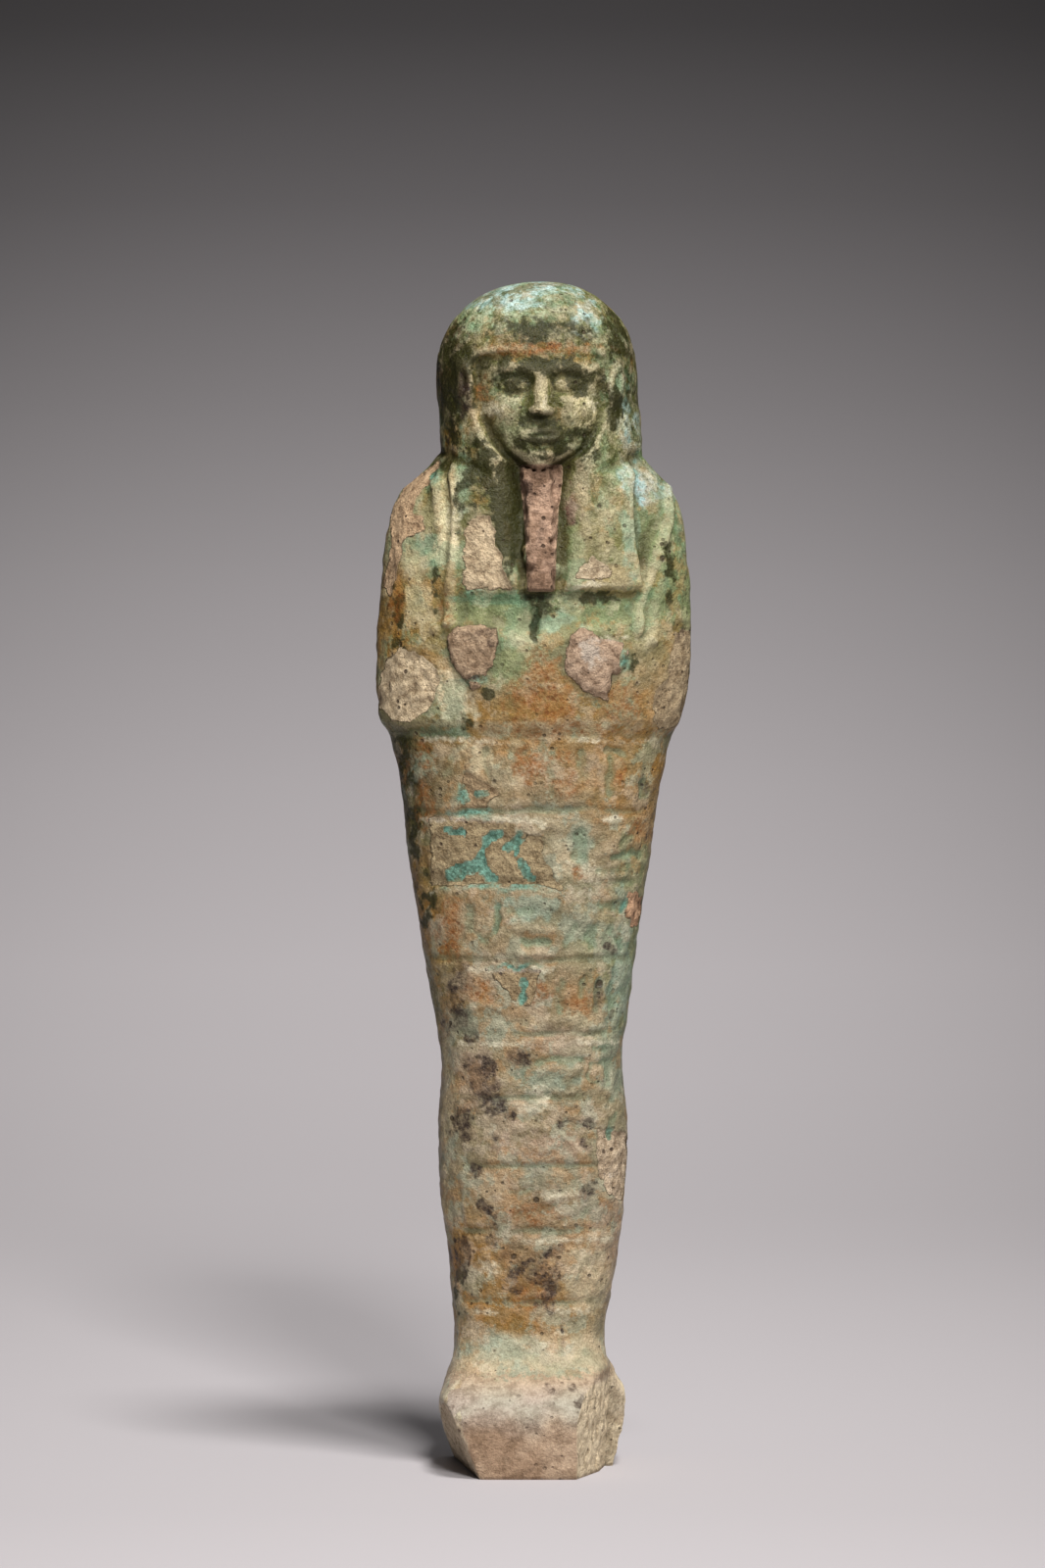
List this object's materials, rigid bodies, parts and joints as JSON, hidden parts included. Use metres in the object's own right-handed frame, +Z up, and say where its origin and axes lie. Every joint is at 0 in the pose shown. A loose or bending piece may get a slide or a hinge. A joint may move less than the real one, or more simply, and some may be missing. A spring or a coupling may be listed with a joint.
{
  "type": "ushabti figurine",
  "caption": "Mummiform funerary figurine in glazed faience with plain wig, false beard, crossed arms, ruled rows on the legs, back pillar and foot block.",
  "frame": {"origin": "centre of the bounding box at the underside of the foot block, on the surface the figurine stands on", "axes": "+Z up along the figure, -Y the way the figure faces, +X towards the viewer's right when facing it"},
  "size_m": [0.0475, 0.0301, 0.18],
  "materials": {
    "faience": "worn pale green-blue faience glaze with brown and rust staining, black specks, and bare grainy tan body where the glaze is lost"
  },
  "bodies": {
    "root": {"figurine": "faience"}
  },
  "joints": []
}
